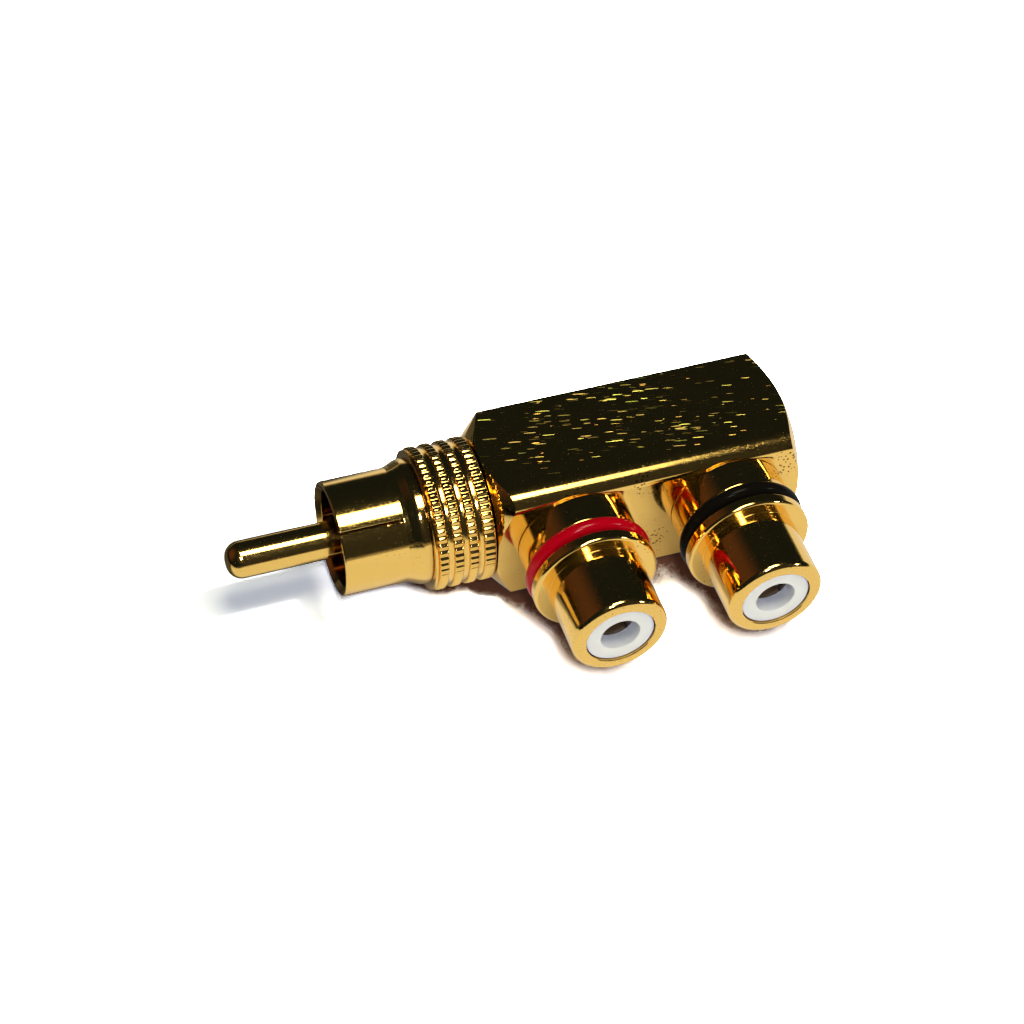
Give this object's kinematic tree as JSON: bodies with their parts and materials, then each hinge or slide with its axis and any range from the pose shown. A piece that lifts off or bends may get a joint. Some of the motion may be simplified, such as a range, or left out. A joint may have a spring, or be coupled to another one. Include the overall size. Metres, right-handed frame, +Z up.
{
  "type": "phono splitter adapter",
  "caption": "Gold-plated metal splitter adapter with a slotted phono plug in line with a rectangular body and side-facing phono jacks with colour rings.",
  "frame": {"origin": "centre of the plug shell's mouth, on the plug's axis", "axes": "+X along the plug's axis from the pin into the body, -Y the way the jacks open, +Z up"},
  "size_m": [0.0492, 0.0231, 0.0124],
  "materials": {
    "gold_body": "polished gold plate with fine scratches",
    "gold_knurl": "polished gold plate, knurled",
    "gold_shell": "polished gold plate",
    "gold_pin": "polished gold plate",
    "gold_jack": "polished gold plate",
    "gold_contact": "gold plate",
    "bare_brass": "plain",
    "plug_white": "moulded",
    "jack_white": "moulded, slightly glossy",
    "inner_white": "moulded",
    "ring_red": "gloss",
    "ring_black": "gloss"
  },
  "bodies": {
    "root": {"splitter_body": "gold_body", "knurled_sleeve": "gold_knurl", "plug_shell": "gold_shell", "plug_insulator": "plug_white", "centre_pin": "gold_pin", "bus_rod": "bare_brass", "rod_spacer": "inner_white", "rod_end_cap": "inner_white", "red_jack_boss": "gold_jack", "red_ring": "ring_red", "red_jack_barrel": "gold_jack", "red_jack_insulator": "jack_white", "red_jack_contact": "gold_contact", "red_jack_rear_cup": "inner_white", "black_jack_boss": "gold_jack", "black_ring": "ring_black", "black_jack_barrel": "gold_jack", "black_jack_insulator": "jack_white", "black_jack_contact": "gold_contact", "black_jack_rear_cup": "inner_white"}
  },
  "joints": []
}
